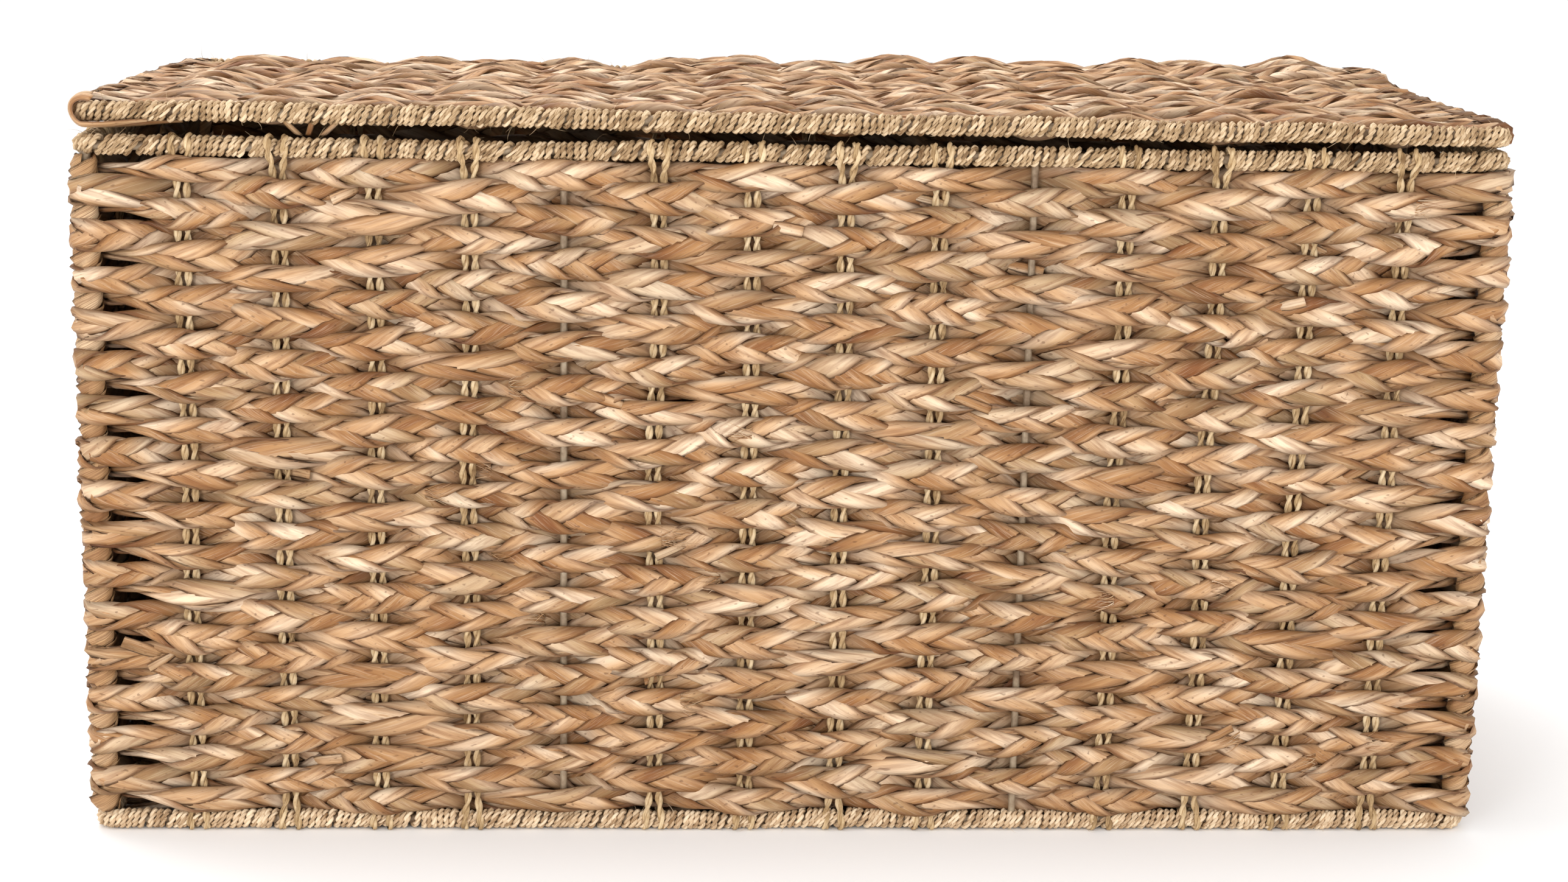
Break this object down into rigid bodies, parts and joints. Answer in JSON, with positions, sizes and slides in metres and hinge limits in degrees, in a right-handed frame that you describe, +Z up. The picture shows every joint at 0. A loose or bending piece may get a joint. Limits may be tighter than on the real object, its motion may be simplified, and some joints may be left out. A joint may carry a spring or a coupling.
{
  "type": "wicker storage trunk",
  "caption": "Rectangular storage trunk with a hinged lid, woven from flat plaited leaf braid over twisted grass cord on a welded steel rod frame.",
  "frame": {"origin": "middle of the trunk's footprint, on the floor it stands on", "axes": "+X along the trunk to its right end, -Y out of the front, +Z up; the lid is hinged along the back at +Y"},
  "size_m": [0.8064, 0.4064, 0.4179],
  "materials": {
    "leaf_braid": "satin dried leaf, plaited flat from three strands",
    "leaf_wrap": "satin dried leaf, wound tight",
    "grass_cord": "matte twisted grass cord",
    "steel_rod": "dull lacquered rod"
  },
  "bodies": {
    "trunk": {"base_braids": "leaf_braid", "base_cords": "grass_cord", "base_rods": "steel_rod", "body_bottom_rod": "steel_rod", "body_top_rod": "steel_rod", "bottom_rim_cord": "grass_cord", "corner_post_back_left": "steel_rod", "corner_post_back_right": "steel_rod", "corner_post_front_left": "steel_rod", "corner_post_front_right": "steel_rod", "hinge_link_left": "steel_rod", "hinge_link_middle": "steel_rod", "hinge_link_right": "steel_rod", "post_leaf_back_left": "leaf_wrap", "post_leaf_back_right": "leaf_wrap", "post_leaf_front_left": "leaf_wrap", "post_leaf_front_right": "leaf_wrap", "stake_cords_back": "grass_cord", "stake_cords_front": "grass_cord", "stake_cords_left": "grass_cord", "stake_cords_right": "grass_cord", "stake_rods": "steel_rod", "top_rim_cord": "grass_cord", "wall_braid_01": "leaf_braid", "wall_braid_02": "leaf_braid", "wall_braid_03": "leaf_braid", "wall_braid_04": "leaf_braid", "wall_braid_05": "leaf_braid", "wall_braid_06": "leaf_braid", "wall_braid_07": "leaf_braid", "wall_braid_08": "leaf_braid", "wall_braid_09": "leaf_braid", "wall_braid_10": "leaf_braid", "wall_braid_11": "leaf_braid", "wall_braid_12": "leaf_braid", "wall_braid_13": "leaf_braid", "wall_braid_14": "leaf_braid", "wall_braid_15": "leaf_braid", "wall_braid_16": "leaf_braid", "wall_braid_17": "leaf_braid", "wall_braid_18": "leaf_braid", "wall_braid_19": "leaf_braid", "wall_braid_20": "leaf_braid", "wall_braid_21": "leaf_braid", "wall_braid_22": "leaf_braid", "wall_braid_23": "leaf_braid", "wall_braid_24": "leaf_braid", "wall_braid_25": "leaf_braid", "wall_braid_26": "leaf_braid", "wall_braid_27": "leaf_braid", "wall_braid_28": "leaf_braid", "wall_braid_29": "leaf_braid", "wall_braid_30": "leaf_braid", "wall_braid_31": "leaf_braid"},
    "lid": {"lid_braids": "leaf_braid", "lid_cords": "grass_cord", "lid_cross_rods": "steel_rod", "lid_rim_cord": "grass_cord", "lid_rim_rod": "steel_rod"}
  },
  "joints": [
    {"name": "lid_hinge", "type": "hinge", "parent": "trunk", "child": "lid", "pos_m": [0, 0.194, 0.408], "axis": [-1, 0, 0], "range_deg": [0, 185]}
  ]
}
